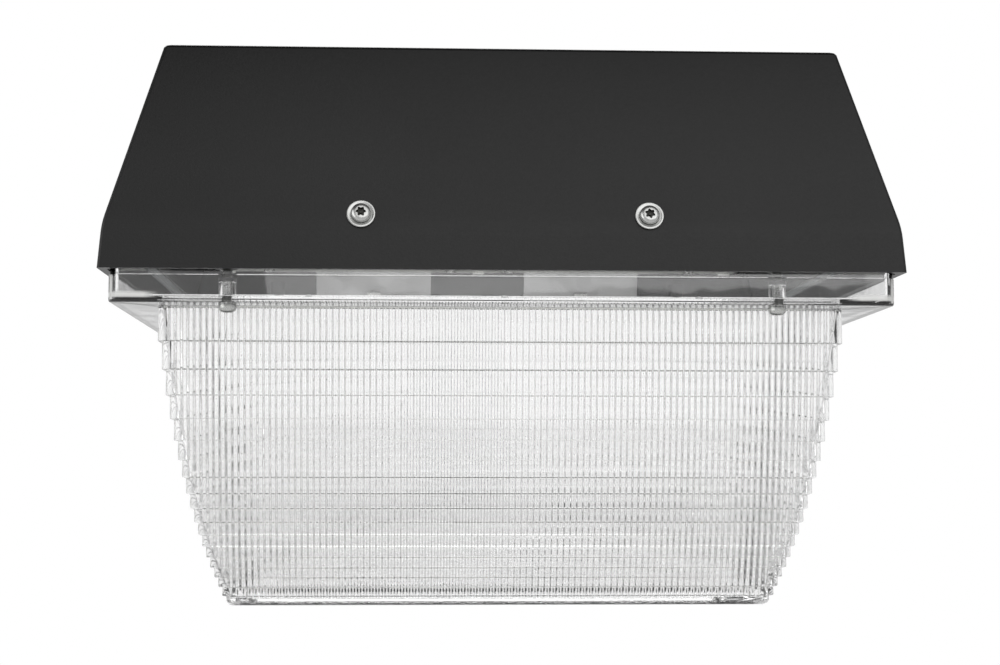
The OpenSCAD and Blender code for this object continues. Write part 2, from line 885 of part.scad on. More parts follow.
// Ring pressed on the thread above the clear boss
module retainer(x, y) {
    color("#2a2a2c")
        translate([x * lens_screw_x, y * lens_screw_y, z_lens_boss + screw_gap])
            difference() {
                cylinder(d = retainer_d, h = retainer_t);
                translate([0, 0, -past]) cylinder(d = lens_screw_d, h = retainer_t + 2 * past);
            }
}

module lens_screw_front_left() { lens_screw(-1, -1); }
module lens_screw_front_right() { lens_screw(1, -1); }
module lens_screw_back_left() { lens_screw(-1, 1); }
module lens_screw_back_right() { lens_screw(1, 1); }
module retainer_front_left() { retainer(-1, -1); }
module retainer_front_right() { retainer(1, -1); }
module retainer_back_left() { retainer(-1, 1); }
module retainer_back_right() { retainer(1, 1); }

housing();
ceiling_gasket();
lens_gasket();
side_screws();
side_washers();
tray_nuts();
gear_tray();
reflector();
reflector_rivets();
cable_grommet();
thermal_pads();
led_boards();
led_chips();
board_screws();
board_connectors();
driver_case();
driver_cover();
surge_module();
terminal_block();
tray_screws();
earth_screw();
lens();
lens_screw_front_left();
lens_screw_front_right();
lens_screw_back_left();
lens_screw_back_right();
retainer_front_left();
retainer_front_right();
retainer_back_left();
retainer_back_right();
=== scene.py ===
import bpy, bmesh, json, math
from mathutils import Matrix, Vector


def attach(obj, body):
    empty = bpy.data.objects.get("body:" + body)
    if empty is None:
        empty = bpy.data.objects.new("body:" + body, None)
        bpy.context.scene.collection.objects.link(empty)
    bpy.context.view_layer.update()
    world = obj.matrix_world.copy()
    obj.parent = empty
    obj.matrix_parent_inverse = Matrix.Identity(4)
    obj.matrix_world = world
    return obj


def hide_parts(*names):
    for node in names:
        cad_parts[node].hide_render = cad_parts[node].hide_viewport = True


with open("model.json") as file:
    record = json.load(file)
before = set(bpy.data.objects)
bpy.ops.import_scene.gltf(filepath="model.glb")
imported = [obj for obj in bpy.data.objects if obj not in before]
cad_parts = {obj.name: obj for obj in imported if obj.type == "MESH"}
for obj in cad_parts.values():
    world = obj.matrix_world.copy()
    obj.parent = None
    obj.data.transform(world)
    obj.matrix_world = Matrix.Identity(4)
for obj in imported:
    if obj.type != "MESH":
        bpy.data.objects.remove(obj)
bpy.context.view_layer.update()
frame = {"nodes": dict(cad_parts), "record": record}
nodes = frame["nodes"]
print("frame loaded with", len(nodes), "pieces")

near = 0.01        # mm, closer than this counts as the same place
squareMm = 1e6     # in a square metre


def hexToLinear(code):
    channels = [int(code[i:i + 2], 16) / 255 for i in (1, 3, 5)]
    return [c / 12.92 if c <= 0.04045 else ((c + 0.055) / 1.055) ** 2.4 for c in channels] + [1.0]


def addNode(tree, kind, inputs=None, **settings):
    node = tree.nodes.new(kind)
    for name, value in settings.items():
        setattr(node, name, value)
    for key, value in (inputs or {}).items():
        socket = node.inputs[key]
        if isinstance(value, bpy.types.NodeSocket):
            tree.links.new(value, socket)
        elif isinstance(value, str):
            socket.default_value = hexToLinear(value)
        else:
            socket.default_value = value
    return node


def startMaterial(name):
    material = bpy.data.materials.new(name)
    material.use_nodes = True
    tree = material.node_tree
    tree.nodes.clear()
    place = addNode(tree, "ShaderNodeTexCoord").outputs["Object"]
    return material, tree, place


def finishMaterial(tree, shader):
    addNode(tree, "ShaderNodeOutputMaterial", {"Surface": shader.outputs[0]})


# The camera stands a little below and left of the light, at the photograph's place, in metres and degrees.
shot = {
    "place": (-0.0370, -0.8649, -0.1715),
    "pitch": 4.682, "yaw": 2.796, "roll": -0.031,
    "lens": 68.85, "sensor": 36,
}
camera = bpy.data.objects.new("camera", bpy.data.cameras.new("camera"))
bpy.context.scene.collection.objects.link(camera)
camera.data.lens = shot["lens"]
camera.data.sensor_width = shot["sensor"]
camera.location = shot["place"]
camera.rotation_euler = (
    math.radians(90 + shot["pitch"]), math.radians(shot["roll"]), -math.radians(shot["yaw"]),
)
bpy.context.scene.camera = camera
bpy.context.scene.view_settings.view_transform = "Standard"
print("camera set")


# White all round for the camera and through the lens. Gloss sees a sky that darkens overhead.
surroundings = {
    "skyLight": 0.5,                            # what the world adds to matt surfaces
    "skyLow": 0.3, "skyHigh": 0.8,              # rise of the view where the darkening starts and ends
    "levelSky": 0.74, "overhead": 0.1,          # how bright gloss sees the sky below and above it
    "floorHeight": -2.2, "floorRadius": 10.5,   # metres, as far below as a floor is below a canopy
    "floorSides": 128, "floorTone": "#F0F0F0",
    "floorWhite": 0.86, "floorThrough": 0.75,   # share of plain white to the camera, and in glass and gloss
    "fadeFrom": 3.0, "fadeTo": 9.5,             # metres from the middle, where the floor melts into the white
}


def rayIs(tree, *kinds):
    path = addNode(tree, "ShaderNodeLightPath")
    found = path.outputs[kinds[0]]
    for kind in kinds[1:]:
        found = addNode(tree, "ShaderNodeMath", {0: found, 1: path.outputs[kind]}, operation="MAXIMUM").outputs[0]
    return found


def makeSky():
    world = bpy.data.worlds.new("white studio")
    bpy.context.scene.world = world
    world.use_nodes = True
    tree = world.node_tree
    tree.nodes.clear()
    direction = addNode(tree, "ShaderNodeTexCoord").outputs["Generated"]
    rise = addNode(tree, "ShaderNodeSeparateXYZ", {0: direction}).outputs["Z"]
    dimmed = addNode(tree, "ShaderNodeMapRange", {
        "Value": rise, "From Min": surroundings["skyLow"], "From Max": surroundings["skyHigh"],
        "To Min": surroundings["levelSky"], "To Max": surroundings["overhead"],
    })
    soft = addNode(tree, "ShaderNodeBackground", {"Color": "#FFFFFF", "Strength": surroundings["skyLight"]})
    mirrored = addNode(tree, "ShaderNodeBackground", {"Color": "#FFFFFF", "Strength": dimmed.outputs[0]})
    white = addNode(tree, "ShaderNodeBackground", {"Color": "#FFFFFF", "Strength": 1.0})
    lighting = addNode(tree, "ShaderNodeMixShader", {
        0: rayIs(tree, "Is Glossy Ray"), 1: soft.outputs[0], 2: mirrored.outputs[0],
    })
    sky = addNode(tree, "ShaderNodeMixShader", {
        0: rayIs(tree, "Is Camera Ray", "Is Transmission Ray"), 1: lighting.outputs[0], 2: white.outputs[0],
    })
    addNode(tree, "ShaderNodeOutputWorld", {"Surface": sky.outputs[0]})


# White paper: matt, so that it takes the light's shadow, and mixed with plain white where it is seen.
def whitePaper():
    material, tree, place = startMaterial("white paper floor")
    paper = addNode(tree, "ShaderNodeBsdfDiffuse", {"Color": surroundings["floorTone"]})
    glow = addNode(tree, "ShaderNodeEmission", {"Color": "#FFFFFF", "Strength": 1.0})
    fromMiddle = addNode(tree, "ShaderNodeVectorMath", {0: place}, operation="LENGTH").outputs["Value"]
    whiter = addNode(tree, "ShaderNodeMapRange", {
        "Value": fromMiddle, "From Min": surroundings["fadeFrom"], "From Max": surroundings["fadeTo"],
        "To Min": surroundings["floorWhite"], "To Max": 1.0,
    })
    direct = addNode(tree, "ShaderNodeMath", {
        0: rayIs(tree, "Is Camera Ray"), 1: whiter.outputs[0],
    }, operation="MULTIPLY")
    through = addNode(tree, "ShaderNodeMath", {
        0: rayIs(tree, "Is Glossy Ray", "Is Transmission Ray"), 1: surroundings["floorThrough"],
    }, operation="MULTIPLY")
    share = addNode(tree, "ShaderNodeMath", {0: direct.outputs[0], 1: through.outputs[0]}, operation="MAXIMUM")
    finishMaterial(tree, addNode(tree, "ShaderNodeMixShader", {
        0: share.outputs[0], 1: paper.outputs[0], 2: glow.outputs[0],
    }))
    return material


def makeFloor():
    bm = bmesh.new()
    bmesh.ops.create_circle(
        bm, cap_ends=True, segments=surroundings["floorSides"], radius=surroundings["floorRadius"],
    )
    bmesh.ops.translate(bm, verts=bm.verts, vec=(0, 0, surroundings["floorHeight"]))
    floor = finishPiece(bm, "floor", [whitePaper()])
    print("sky and floor made")


# Square soft lamps that look at the middle of the light: places and sizes in metres, power in watts.
lamps = {
    "key": {"place": (0.6, -1.9, 1.1), "size": 2.2, "power": 20},
    "fill": {"place": (-1.9, -1.0, 0.4), "size": 1.8, "power": 14},
    "back": {"place": (-0.3, 1.9, 1.1), "size": 1.8, "power": 16},
}
lampTarget = (0, 0, -0.1)


def makeLamps():
    for name, lamp in lamps.items():
        data = bpy.data.lights.new(name, "AREA")
        data.shape = "SQUARE"
        data.size = lamp["size"]
        data.energy = lamp["power"]
        body = bpy.data.objects.new(name, data)
        bpy.context.scene.collection.objects.link(body)
        body.location = lamp["place"]
        aim = Vector(lampTarget) - Vector(lamp["place"])
        body.rotation_euler = aim.to_track_quat("-Z", "Y").to_euler()
    print("lamps made:", len(lamps))


# Smooths small facets into their neighbours. Faces over flatFrom, in square mm, stay flat.
def finishPiece(bm, name, materials, smoothAngle=None, flatFrom=math.inf):
    if smoothAngle is not None:
        for face in bm.faces:
            face.smooth = True
        for e in bm.edges:
            small = all(face.calc_area() * squareMm < flatFrom for face in e.link_faces)
            e.smooth = small and e.is_manifold and e.calc_face_angle(math.pi) < math.radians(smoothAngle)
    mesh = bpy.data.meshes.new(name)
    bm.to_mesh(mesh)
    bm.free()
    for material in materials:
        mesh.materials.append(material)
    piece = bpy.data.objects.new(name, mesh)
    bpy.context.scene.collection.objects.link(piece)
    return piece


def toMetres(bm):
    bmesh.ops.scale(bm, verts=bm.verts, vec=(0.001, 0.001, 0.001))


# Powder coat: polyester powder sprayed on a die casting and baked. It gives a dull, faintly pebbled skin, faintly
# cloudy.
# Painted shade makes it deepest black at the top edge, towards the ceiling, and paler 50 mm lower down.
def powderCoat():
    material, tree, place = startMaterial("black polyester powder coat")
    pebble = addNode(tree, "ShaderNodeTexNoise", {
        "Vector": place, "Scale": 1100.0, "Detail": 2.0, "Roughness": 0.55,
    }).outputs["Fac"]  # 0.9 mm
    cloud = addNode(tree, "ShaderNodeTexNoise", {
        "Vector": place, "Scale": 14.0, "Detail": 3.0,
    }).outputs["Fac"]  # 70 mm
    height = addNode(tree, "ShaderNodeSeparateXYZ", {0: place}).outputs["Z"]
    # Painted shade: the base colour darkens over the top 50 mm of the housing, mixed with the random cloud.
    paintedShadeFade = addNode(tree, "ShaderNodeMapRange", {
        "Value": height, "From Min": 0.0, "From Max": -0.05, "To Min": 0.0, "To Max": 1.0,
    })
    share = addNode(tree, "ShaderNodeMath", {0: paintedShadeFade.outputs[0], 1: 0.6}, operation="POWER")
    patchy = addNode(tree, "ShaderNodeMapRange", {
        "Value": cloud, "From Min": 0.3, "From Max": 0.7, "To Min": 0.82, "To Max": 1.0,
    })
    shadeFadeAndCloud = addNode(tree, "ShaderNodeMath", {0: share.outputs[0], 1: patchy.outputs[0]}, operation="MULTIPLY")
    tone = addNode(tree, "ShaderNodeMix", {0: shadeFadeAndCloud.outputs[0], 6: "#040404", 7: "#202020"}, data_type="RGBA")
    dull = addNode(tree, "ShaderNodeMapRange", {
        "Value": pebble, "From Min": 0.3, "From Max": 0.7, "To Min": 0.34, "To Max": 0.44,
    })
    bump = addNode(tree, "ShaderNodeBump", {"Height": pebble, "Strength": 0.25, "Distance": 0.0002})
    finishMaterial(tree, addNode(tree, "ShaderNodeBsdfPrincipled", {
        "Base Color": tone.outputs[2], "Roughness": dull.outputs[0], "Normal": bump.outputs[0],
        "Specular IOR Level": 0.24,
    }))
    return material


# Painted light: how much light the rim and the flange pipe to their edges, by place on the rim, in metres, shown as
# a pale matt surface. It bounces more often on its way than a render follows.
piped = {
    "corner": 0.1470, "flangeEnd": 0.1325, "top": -0.0980, "low": -0.1001,
    "blur": 0.0003, "topBlur": 0.0006, "endBlur": 0.003, "most": 0.75,
}


def pipedLight(tree, place):
    parts = addNode(tree, "ShaderNodeSeparateXYZ", {0: place})
    x = addNode(tree, "ShaderNodeMath", {0: parts.outputs["X"]}, operation="ABSOLUTE").outputs[0]
    y = addNode(tree, "ShaderNodeMath", {0: parts.outputs["Y"]}, operation="ABSOLUTE").outputs[0]
    z = parts.outputs["Z"]
    fromMiddle = addNode(tree, "ShaderNodeMath", {0: x, 1: y}, operation="MINIMUM").outputs[0]
    edges = (
        (fromMiddle, piped["flangeEnd"], piped["endBlur"]), (z, piped["top"], -piped["topBlur"]),
        (z, piped["low"], piped["blur"]), (fromMiddle, piped["corner"], piped["blur"]),
    )
    end, underTop, overLow, corner = [addNode(tree, "ShaderNodeMapRange", {
        "Value": value, "From Min": edge - blur, "From Max": edge + blur, "To Min": 0.0, "To Max": 1.0,
    }).outputs[0] for value, edge, blur in edges]
    flange = addNode(tree, "ShaderNodeMath", {0: end, 1: underTop}, operation="MULTIPLY").outputs[0]
    flange = addNode(tree, "ShaderNodeMath", {0: flange, 1: overLow}, operation="MULTIPLY").outputs[0]
    lit = addNode(tree, "ShaderNodeMath", {0: flange, 1: corner}, operation="MAXIMUM").outputs[0]
    return addNode(tree, "ShaderNodeMath", {0: lit, 1: piped["most"]}, operation="MULTIPLY").outputs[0]


# Moulded polycarbonate: clear, and faintly rippled where the mould was polished by hand. Its floor is stippled,
# which blurs what shows through. Lamps shine through it on what is inside.
def clearPolycarbonate(name, stipple=0.0, piping=False):
    material, tree, place = startMaterial(name)
    ripple = addNode(tree, "ShaderNodeTexNoise", {"Vector": place, "Scale": 70.0, "Detail": 1.0})  # 14 mm
    bump = addNode(tree, "ShaderNodeBump", {
        "Height": ripple.outputs["Fac"], "Strength": 0.06, "Distance": 0.0005,
    })
    if stipple:
        pits = addNode(tree, "ShaderNodeTexVoronoi", {
            "Vector": place, "Scale": 560.0, "Randomness": 0.6,
        }, feature="SMOOTH_F1")  # 1.8 mm, coarser than real so that it shows
        bump = addNode(tree, "ShaderNodeBump", {
            "Height": pits.outputs["Distance"], "Strength": stipple, "Distance": 0.0006, "Normal": bump.outputs[0],
        })
    clear = addNode(tree, "ShaderNodeBsdfPrincipled", {
        "Base Color": "#FEFEFE", "Roughness": 0.02, "IOR": 1.585, "Transmission Weight": 1.0,
        "Normal": bump.outputs[0],
    })
    # Painted light: a pale matt surface is mixed into the clear plastic where the rim and flange pipe light.
    if piping:
        glow = addNode(tree, "ShaderNodeBsdfPrincipled", {"Base Color": "#F0F0EE", "Roughness": 0.5})
        clear = addNode(tree, "ShaderNodeMixShader", {
            0: pipedLight(tree, place), 1: clear.outputs[0], 2: glow.outputs[0],
        })
    shade = addNode(tree, "ShaderNodeBsdfTransparent", {"Color": "#F0F4F4"})
    finishMaterial(tree, addNode(tree, "ShaderNodeMixShader", {
        0: rayIs(tree, "Is Shadow Ray"), 1: clear.outputs[0], 2: shade.outputs[0],
    }))
    return material


# Zinc-plated steel: bright, with the soft swirl of barrel plating.
def zincPlate():
    material, tree, place = startMaterial("bright zinc plate")
    swirl = addNode(tree, "ShaderNodeTexNoise", {
        "Vector": place, "Scale": 900.0, "Detail": 3.0,
    }).outputs["Fac"]  # 1.1 mm
    tone = addNode(tree, "ShaderNodeMix", {0: swirl, 6: "#A9AAAA", 7: "#C4C4C1"}, data_type="RGBA")
    dull = addNode(tree, "ShaderNodeMapRange", {
        "Value": swirl, "From Min": 0.3, "From Max": 0.7, "To Min": 0.2, "To Max": 0.34,
    })
    finishMaterial(tree, addNode(tree, "ShaderNodeBsdfPrincipled", {
        "Base Color": tone.outputs[2], "Roughness": dull.outputs[0], "Metallic": 1.0,
    }))
    return material


# A plain moulded, painted or lacquered surface: two close tones in fine specks, which also stand up a little.
# The grain is how many specks lie in a metre.
def plainFinish(name, low, high, roughness, metallic=0.0, grain=400.0, bumpStrength=0.1):
    material, tree, place = startMaterial(name)
    speck = addNode(tree, "ShaderNodeTexNoise", {"Vector": place, "Scale": grain, "Detail": 2.0}).outputs["Fac"]
    tone = addNode(tree, "ShaderNodeMix", {0: speck, 6: low, 7: high}, data_type="RGBA")
    bump = addNode(tree, "ShaderNodeBump", {"Height": speck, "Strength": bumpStrength, "Distance": 0.0001})
    finishMaterial(tree, addNode(tree, "ShaderNodeBsdfPrincipled", {
        "Base Color": tone.outputs[2], "Roughness": roughness, "Metallic": metallic, "IOR": 1.5,
        "Normal": bump.outputs[0],
    }))
    return material


# Hot-dip galvanised sheet: dull zinc in large flat crystals, each catching the light its own way.
def galvanisedSheet():
    material, tree, place = startMaterial("galvanised sheet steel")
    crystal = addNode(tree, "ShaderNodeTexVoronoi", {"Vector": place, "Scale": 110.0})  # 9 mm spangle
    shade = addNode(tree, "ShaderNodeSeparateColor", {0: crystal.outputs["Color"]})
    tone = addNode(tree, "ShaderNodeMix", {0: shade.outputs[0], 6: "#969696", 7: "#ACACAC"}, data_type="RGBA")
    dull = addNode(tree, "ShaderNodeMapRange", {"Value": shade.outputs[1], "To Min": 0.3, "To Max": 0.46})
    finishMaterial(tree, addNode(tree, "ShaderNodeBsdfPrincipled", {
        "Base Color": tone.outputs[2], "Roughness": dull.outputs[0], "Metallic": 1.0,
    }))
    return material


# White solder mask over copper: the fields of copper stand up a little, with a groove midway between the LEDs.
board = {"firstLed": 0.028, "ledPitch": 0.022, "groove": 0.0007}   # metres


def solderMask():
    halfPitch = board["ledPitch"] / 2
    material, tree, place = startMaterial("white solder mask over copper")
    across = addNode(tree, "ShaderNodeSeparateXYZ", {0: place}).outputs["X"]
    away = addNode(tree, "ShaderNodeMath", {0: across}, operation="ABSOLUTE").outputs[0]
    fromLed = addNode(tree, "ShaderNodeMath", {0: away, 1: board["firstLed"]}, operation="SUBTRACT").outputs[0]
    field = addNode(tree, "ShaderNodeMath", {0: fromLed, 1: halfPitch}, operation="PINGPONG").outputs[0]
    copper = addNode(tree, "ShaderNodeMapRange", {
        "Value": field, "From Min": halfPitch - board["groove"], "From Max": halfPitch - board["groove"] / 2,
        "To Min": 1.0, "To Max": 0.0,
    }).outputs[0]
    tone = addNode(tree, "ShaderNodeMix", {0: copper, 6: "#D6D5CC", 7: "#E7E6E0"}, data_type="RGBA")
    bump = addNode(tree, "ShaderNodeBump", {"Height": copper, "Strength": 0.6, "Distance": 0.0001})
    finishMaterial(tree, addNode(tree, "ShaderNodeBsdfPrincipled", {
        "Base Color": tone.outputs[2], "Roughness": 0.32, "Normal": bump.outputs[0],
    }))
    return material


finishes = {
    "powder_coat": powderCoat(),
    "clear_polycarbonate": clearPolycarbonate("clear moulded polycarbonate"),
    "plated_steel": zincPlate(),
    # Closed-cell foam: matt black, with fine pits where the cells are cut.
    "foam_rubber": plainFinish("black neoprene foam", "#161617", "#222224", 0.85, grain=900.0, bumpStrength=0.5),
    # Moulded silicone: an even, satin grey.
    "grey_silicone": plainFinish("grey silicone rubber", "#8B8E90", "#989B9C", 0.55),
    "tray_metal": galvanisedSheet(),
    # Enamel baked on sheet: a clean satin white that throws the light back.
    "white_enamel": plainFinish("white polyester enamel", "#EFEFEB", "#F5F5F2", 0.4),
    "solder_mask": solderMask(),
    # Silicone filled with phosphor powder: warm yellow, in grains of a third of a mm so that they show.
    "phosphor": plainFinish("yellow phosphor in silicone", "#E9B92C", "#F2C948", 0.35, grain=3000.0),
    # Undyed moulded nylon: creamy and a little waxy.
    "nylon": plainFinish("natural nylon", "#E4E1D6", "#ECEADF", 0.45),
    # Nylon moulded with glass fibre: dark satin grey, faintly mottled by the fibres.
    "dark_plastic": plainFinish("dark glass-filled nylon", "#26292D", "#2F3338", 0.5),
    # Steel blackened in a hot salt bath: nearly black, with a low sheen.
    "black_steel": plainFinish("black oxide steel", "#202022", "#2A2A2C", 0.4),
    # Green lacquer on steel, which marks the earth screw: smooth and softly glossy.
    "green_steel": plainFinish("green lacquer", "#2C7D40", "#348C4B", 0.35),
}
lensFinishes = [
    finishes["clear_polycarbonate"],
    clearPolycarbonate("clear polycarbonate, stippled", stipple=0.6),
    clearPolycarbonate("clear polycarbonate, painted light at its edges", piping=True),
]
# Painted shade: the recess gets a dark, dull zinc that stands in for the shade in it. The thread gets a greyer,
# darker zinc than the head.
screwFinishes = [
    finishes["plated_steel"],
    plainFinish("zinc with painted shade in the recess", "#2B2B29", "#4A4A46", 0.5, metallic=0.6, grain=1500.0),
    plainFinish("dull zinc on the thread", "#5C5C5A", "#7A7A76", 0.4, metallic=0.85, grain=1500.0),
]
# Moulded white epoxy: a satin body round the phosphor.
ledFinishes = [plainFinish("white epoxy package", "#EDEDE8", "#F4F4F0", 0.45), finishes["phosphor"]]

for entry in frame["record"]["subparts"]:
    mesh = nodes[entry["node"]].data
    mesh.materials.clear()
    mesh.materials.append(finishes[entry["material_slot"]])
print("finishes made")


# Clear drop lens, in mm: a rim round a flange, and below it a cup, stepped in rows outside and fluted inside.
lens = {
    "rimTop": -79.5, "rimStep": -91.4, "flangeTop": -99.3, "flangeLow": -101.9,    # heights
    "rimHalf": 148.9, "rimSetBack": 0.5, "rimWall": 3.0, "rimRadius": 4.0, "rimFillet": 0.5, "rimEdge": 1.0,
    "bodyHalf": 132.4, "bodyRadius": 4.0, "bodyFillet": 0.7, "wall": 2.6, "taper": 25.0,
    "drop": 117.6, "bottomRadius": 2.5, "bottomWall": 3.0,
    "rows": 18, "shrink": 0.31, "crowding": 2.1, "firstExtra": 1.5,                # the last rows are 0.31 as high
    "edge": 0.2,                                                                   # how far the rows are rounded,
    "softRow": 7, "softEdge": 0.8, "softCorner": 0.4,                              # from this row on,
    "lastRows": 13, "lastEdge": 0.5,                                               # and from this one
    "flutes": 110, "flutePitch": 2.405, "fluteDepth": 0.63, "fluteColumns": 10, "plainCorner": 0.9,
    "fluteTop": -101.4, "fluteStart": 0.3, "topInset": 0.03,
    "wallRows": [1, 2, 3, 4, 5, 7, 9, 11, 13, 15, 17],                             # where the inner wall bends
    "deepRow": 5, "lowDepth": 0.85,                                                # full depth to here, then less
    "cornerSteps": 6, "filletSteps": 5, "bottomSteps": 5, "smoothAngle": 35, "flatFrom": 40,
}


def rowHalf(k):
    return lens["bodyHalf"] - k * lens["taper"] / (lens["rows"] - 1)


def rowTop(k):
    last = lens["rows"] - 1
    weights = [
        lens["shrink"] + (1 - lens["shrink"]) * (1 - i / last) ** lens["crowding"] for i in range(lens["rows"])
    ]
    run = lens["drop"] - lens["bottomRadius"] - lens["firstExtra"]
    return lens["flangeLow"] - (lens["firstExtra"] if k else 0) - run * sum(weights[:k]) / sum(weights)


# Draws a square outline with round corners on to a new height and size, which is its half width and its radius.
def nextRing(bm, edges, old, new, height):
    made = bmesh.ops.extrude_edge_only(bm, edges=edges)["geom"]
    verts = set(g for g in made if isinstance(g, bmesh.types.BMVert))
    for v in verts:
        for axis in (0, 1):
            share = (abs(v.co[axis]) - old[0] + old[1]) / old[1]
            v.co[axis] = math.copysign(new[0] - new[1] + share * new[1], v.co[axis])
        v.co.z = height
    return [g for g in made if isinstance(g, bmesh.types.BMEdge) and all(v in verts for v in g.verts)]


def outerShell(bm):
    rimInner = (lens["rimHalf"] - lens["rimWall"], lens["rimRadius"] - lens["rimWall"])
    rimUpper = (lens["rimHalf"] - lens["rimSetBack"], lens["rimRadius"] - lens["rimSetBack"])
    rimOuter = (lens["rimHalf"], lens["rimRadius"])
    rows = [(rowHalf(k), lens["bodyRadius"]) for k in range(lens["rows"])]
    rings = [
        (rimInner, lens["rimTop"]), (rimUpper, lens["rimTop"]), (rimUpper, lens["rimStep"]),
        (rimOuter, lens["rimStep"]), (rimOuter, lens["flangeLow"]), (rows[0], lens["flangeLow"]),
    ]
    for k in range(1, lens["rows"]):
        rings += [(rows[k - 1], rowTop(k)), (rows[k], rowTop(k))]
    rings.append((rows[-1], rowTop(lens["rows"])))

    fillet = lens["rimFillet"]
    old = (rimInner[0] - fillet, rimInner[1])
    square = bmesh.ops.create_grid(bm, x_segments=1, y_segments=1, size=old[0])
    bmesh.ops.bevel(
        bm, geom=square["verts"], offset=old[1], affect="VERTICES", segments=lens["cornerSteps"], profile=0.5,
        material=-1,
    )
    bmesh.ops.delete(bm, geom=list(bm.faces), context="FACES_ONLY")
    for v in bm.verts:
        v.co.z = lens["flangeTop"]
    edges = list(bm.edges)
    for step in range(1, lens["filletSteps"] + 1):
        angle = step * math.pi / 2 / lens["filletSteps"]
        new = (rimInner[0] - fillet * (1 - math.sin(angle)), rimInner[1])
        edges = nextRing(bm, edges, old, new, lens["flangeTop"] + fillet * (1 - math.cos(angle)))
        old = new

    sharp, softEdges, softCorners, lastEdges, rimEdges, bodyEdges = [], [], [], [], [], []
    for new, height in rings:
        edges = nextRing(bm, edges, old, new, height)
        if height == lens["flangeLow"]:
            (rimEdges if new == rimOuter else bodyEdges).extend(edges)
        elif height < rowTop(lens["lastRows"]) + near:
            lastEdges += edges
        elif height < rowTop(lens["softRow"]) + near:
            (softEdges if new[0] == old[0] else softCorners).extend(edges)
        else:
            sharp += edges
        old = new
    bmesh.ops.contextual_create(bm, geom=edges)
    bmesh.ops.bevel(
        bm, geom=edges, offset=lens["bottomRadius"], affect="EDGES", segments=lens["bottomSteps"], profile=0.5,
        material=-1,
    )
    # Edges, radius and segments. Two segments leave a crisp line between rows, three or four a soft one.
    rounding = (
        (rimEdges, lens["rimEdge"], 4), (bodyEdges, lens["bodyFillet"], 4), (softEdges, lens["softEdge"], 3),
        (softCorners, lens["softCorner"], 2), (lastEdges, lens["lastEdge"], 2), (sharp, lens["edge"], 2),
    )
    for rounded, radius, segments in rounding:
        rounded = [e for e in rounded if e.is_valid and e not in edges]
        bmesh.ops.bevel(
            bm, geom=rounded, offset=radius, affect="EDGES", segments=segments, profile=0.5, material=-1,
        )


# The flutes' depth at a row, as a share of the full depth. They get shallower towards the floor.
def depthAt(k):
    return min(1, 1 - (1 - lens["lowDepth"]) * (k - lens["deepRow"]) / (lens["rows"] - 1 - lens["deepRow"]))


# One wall of the hollow, as wide as its top, with its upright flutes. They start level with the flange and fade out
# just before the mitres at the corners, which cut the wall off.
def flutedWall():
    top = rowHalf(0) - lens["wall"]
    start = lens["fluteTop"]
    levels = [
        (top, lens["flangeTop"], 0), (top, start, 0), (top - lens["topInset"], start - lens["fluteStart"], 1),
    ]
    levels += [(rowHalf(k) - lens["wall"], rowTop(k), depthAt(k)) for k in lens["wallRows"]]
    foot = rowHalf(lens["rows"] - 0.5) - lens["wall"]
    levels.append((foot, rowTop(lens["rows"]) + lens["bottomWall"], lens["lowDepth"]))
    steps = lens["fluteColumns"]
    columns = lens["flutes"] * steps
    bm = bmesh.new()
    bmesh.ops.create_grid(bm, x_segments=columns, y_segments=len(levels) - 1, size=1)
    for v in bm.verts:
        whole, part = divmod(round((v.co.x + 1) / 2 * columns), steps)
        half, height, share = levels[round((v.co.y + 1) / 2 * (len(levels) - 1))]
        across = part / steps
        v.co.x = (whole + across - lens["flutes"] / 2) * lens["flutePitch"]
        fade = min(1, max(0, half - abs(v.co.x) - lens["plainCorner"]))
        v.co.y = -half + share * fade * lens["fluteDepth"] * (1 - math.cos(2 * math.pi * across)) / 2
        v.co.z = height
    for side in (1, -1):
        geometry = list(bm.verts) + list(bm.edges) + list(bm.faces)
        bmesh.ops.bisect_plane(bm, geom=geometry, plane_co=(0, 0, 0), plane_no=(side, 1, 0), clear_outer=True)
    mesh = bpy.data.meshes.new("fluted wall")
    bm.to_mesh(mesh)
    bm.free()
    return mesh


def boundaryAt(bm, height):
    return [e for e in bm.edges if e.is_boundary and all(abs(v.co.z - height) < near for v in e.verts)]


# Bosses for the screws, each tied to the rim by a rib, and nubs where the mould's ejector pins pushed. All in mm.
fitting = {
    "x": 105.0, "y": 139.15, "bossRadius": 3.3, "bore": 2.08, "bossTop": -93.5, "bossSides": 32, "rib": 0.9,
    "nubPitch": 74.0, "nubInset": 3, "nubHeight": 1.1, "nubSides": 16,
    "nub": [(0, 1), (0.8, 0.9), (1.3, 0.55), (1.5, 0), (0, 0)],   # radius, and share of the height
    "sunk": 0.05,                                                 # into what carries it
}


def lensFittings(bm):
    low = lens["flangeTop"] - fitting["sunk"]
    top = fitting["bossTop"]
    inside = lens["rimHalf"] - lens["rimWall"]
    bore, wide = fitting["bore"], fitting["bossRadius"]
    boss = [(bore, low), (wide, low), (wide, top), (bore, top)]
    nub = [(radius, low + share * fitting["nubHeight"]) for radius, share in fitting["nub"]]
    reach = inside - fitting["y"] - wide + 2 * fitting["sunk"]
    ribPlace = fitting["y"] + wide - fitting["sunk"] + reach / 2
    for x in (-1, 1):
        for y in (-1, 1):
            turned(bm, boss, fitting["bossSides"], Vector((x * fitting["x"], y * fitting["y"], 0)), closed=True)
            rib = bmesh.ops.create_cube(bm, size=1)["verts"]
            bmesh.ops.scale(bm, verts=rib, vec=(fitting["rib"], reach, top - low))
            bmesh.ops.translate(bm, verts=rib, vec=(x * fitting["x"], y * ribPlace, (top + low) / 2))
    for x in (-1, 0, 1):
        for y in (-1, 1):
            centre = Vector((x * fitting["nubPitch"], y * (inside - fitting["nubInset"]), 0))
            turned(bm, nub, fitting["nubSides"], centre, closed=False)


